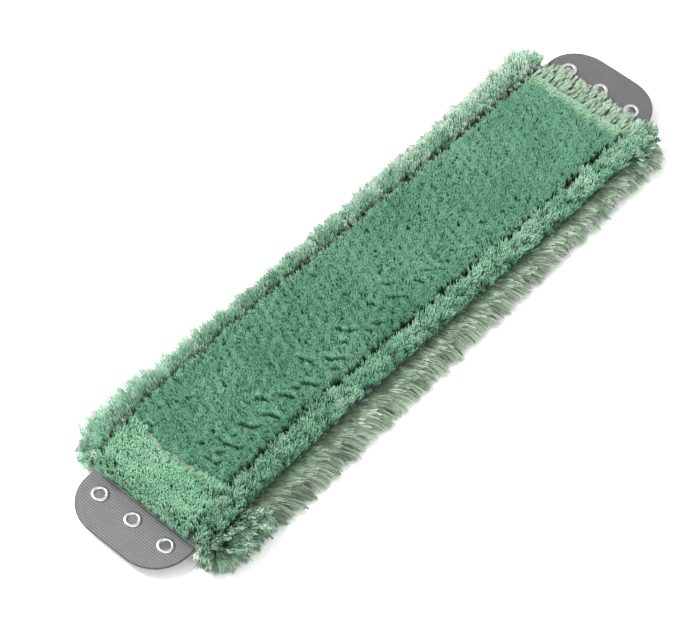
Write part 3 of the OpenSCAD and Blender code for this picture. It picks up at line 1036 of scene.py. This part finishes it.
def revolve(name, profile, centre, material, steps=72):
    """Closed ring of revolution round Z through centre; profile is (radius, z) points."""
    turn = np.arange(steps)[:, None] * 2 * math.pi / steps
    r, z = np.array(profile).T
    points = stack(centre[0] + np.cos(turn) * r, centre[1] + np.sin(turn) * r, z)
    k = np.arange(len(r))
    a = np.arange(steps)[:, None] * len(r) + k
    b = np.roll(a, -1, axis=1)
    faces = stack(a, b, np.roll(b, -1, axis=0), np.roll(a, -1, axis=0)).reshape(-1, 4)
    return add_object(name, points.reshape(-1, 3), faces[:, ::-1], material)


def make_eyelet(end, place):
    """Eyelet with a rolled flange and a flared foot."""
    low, high = node_box(f"eyelet_{end}_{place}")
    ring_low, ring_high = node_box(f"washer_{end}_{place}")
    outer = (high[0] - low[0]) / 2
    web_top = node_box(f"tongue_{end}")[1][2]
    roll = high[2] - web_top
    throat_r, foot_r = 1.4, 0.9
    outside = EYELET_BORE + EYELET_WALL
    crown = arc_points((outer - roll, web_top), roll, 0, 60, 7)
    throat = arc_points((EYELET_BORE + throat_r, high[2] - throat_r), throat_r, 95, 180, 9)
    foot = arc_points((EYELET_BORE + foot_r, low[2] + foot_r), foot_r, 180, 265, 7)
    profile = crown + throat + foot + [(EYELET_BORE + 1.3, ring_low[2]), (outside, ring_high[2]),
                                       (outside, web_top), (outer - 0.5, web_top)]
    piece = revolve(f"eyelet_{end}_{place}_rolled", profile, (low + high) / 2, NICKEL)
    fit_in(piece, f"tongue_{end}", "eyelet_metal", f"eyelet_{end}_{place}")


def make_washer(end, place):
    """Dished washer that the foot of an eyelet is flared over."""
    low, high = node_box(f"washer_{end}_{place}")
    inner = EYELET_BORE + EYELET_WALL + 0.05
    edge_r = 0.35
    edge = arc_points(((high[0] - low[0]) / 2 - edge_r, (low[2] + high[2]) / 2), edge_r, 90, -90, 9)
    profile = edge + [(inner + 0.8, low[2] - 0.15), (inner, low[2] + 0.2), (inner, high[2])]
    piece = revolve(f"washer_{end}_{place}_dished", profile[::-1], (low + high) / 2, NICKEL)
    fit_in(piece, f"tongue_{end}", "eyelet_metal", f"washer_{end}_{place}")


def make_mouth_tape(end, sign, mouth):
    """Tape folded over the pocket's mouth edge."""
    low, high = node_box(f"pocket_tape_{end}")
    bend, width = 0.95, 6.0
    line = [(-width, -bend), (-width / 2, -bend), *arc_points((0, 0), bend, -90, 90, 11),
            (-width / 2, bend), (-width, bend)]
    out, z = tape_section(line, 0.7)
    y = span(low[1], high[1], 2.5)[:, None]
    sections = stack(mouth - sign * (out - 0.2), y, MOUTH_Z + z)
    piece = loft(f"pocket_mouth_tape_{end}", sections[:, ::sign], MOUTH_TAPE)
    fit_in(piece, BODY, "tape", f"pocket_tape_{end}")


def make_end_stitching(end):
    """Two rows of stitches that hold a tongue, seen on the back."""
    low, high = node_box(f"end_stitching_{end}")
    z = BACK_LOW[2] - 0.1
    for number, x in enumerate((low[0] + 0.4, high[0] - 0.4), 1):
        stitches(f"end_stitches_{end}_{number}", (x, low[1] + 1, z), (x, high[1] - 1, z),
                 "white_thread", f"end_stitching_{end}")


# ---- camera, light and floor ----

# The photo's own view, in metres and radians
CAMERA_PLACE = (-0.959, -0.640, 1.558)
CAMERA_TURN = math.radians(34.8)
CAMERA_DIP = math.radians(53.8)
CAMERA_ROLL = math.radians(6.8)
CAMERA_LENS = 138.3


def add_view(name, data, place, look, roll=0.0):
    """Camera or light at a place in metres, pointed along look."""
    view = bpy.data.objects.new(name, data)
    bpy.context.scene.collection.objects.link(view)
    view.location = place
    turned = look.to_track_quat("-Z", "Y") @ Quaternion((0, 0, 1), roll)
    view.rotation_euler = turned.to_euler()
    return view


def make_camera():
    data = bpy.data.cameras.new("camera")
    data.lens = CAMERA_LENS
    data.sensor_width = 36
    level = math.cos(CAMERA_DIP)
    look = Vector((math.cos(CAMERA_TURN) * level, math.sin(CAMERA_TURN) * level, -math.sin(CAMERA_DIP)))
    bpy.context.scene.camera = add_view("camera", data, CAMERA_PLACE, look, CAMERA_ROLL)


def make_light(name, place, size, power):
    """Square soft light at a place in metres, turned to the middle of the mop."""
    data = bpy.data.lights.new(name, "AREA")
    data.size = size
    data.energy = power
    add_view(name, data, place, -Vector(place))


FLOOR_HALF = 4000.0
FLOOR_Z = -0.2


def make_studio():
    """White surroundings, two soft lights and a pale floor just under the mop."""
    world = bpy.data.worlds.new("studio")
    world.use_nodes = True
    sky = world.node_tree.nodes["Background"].inputs
    sky["Color"].default_value = (1, 1, 1, 1)
    sky["Strength"].default_value = 1.1
    bpy.context.scene.world = world
    make_light("key_light", (-0.55, 1.25, 1.5), 0.6, 66)
    make_light("fill_light", (-1.0, -1.2, 1.2), 1.5, 10)
    corners = np.array([(-1, -1), (1, -1), (1, 1), (-1, 1)]) * FLOOR_HALF
    points = stack(*corners.T, FLOOR_Z)
    s = Shader("studio_floor", roughness=0.9)
    grain = s.noise(s.place(), 3.0)
    s.colour(s.blend((0.93, 0.93, 0.93), (0.95, 0.95, 0.95), grain))
    add_object("studio_floor", points, np.array([[0, 1, 2, 3]]), s.material)
    bpy.context.scene.view_settings.view_transform = "Standard"


make_camera()
make_studio()
make_layer("face_cloth_sheet", "face_cloth", GROUND_CLOTH, "ground")
make_layer("backing_cloth_sheet", "backing_cloth", BACKING_CLOTH, "backing")
make_pad()
for end, sign in ENDS.items():
    mouth = make_pocket(end, sign)
    make_mouth_tape(end, sign, mouth)
    make_ridge(end)
    make_end_stitching(end)
    make_tongue(end, sign)
    for place in PLACES:
        make_eyelet(end, place)
        make_washer(end, place)
for seed, (name, side) in enumerate(SIDES.items()):
    make_binding(side, name)
    make_gutter_seam(name)
    make_side_strip(side, name, 31 + seed)
    make_fringe(side, name, 41 + seed)
    for end in ENDS:
        make_corner(end, name, 71 + seed)
make_centre_pile()
make_front_panel()
make_rear_panel()
make_ridge_fuzz("front", -0.2, 71)
make_ridge_fuzz("rear", 0.2, 57)
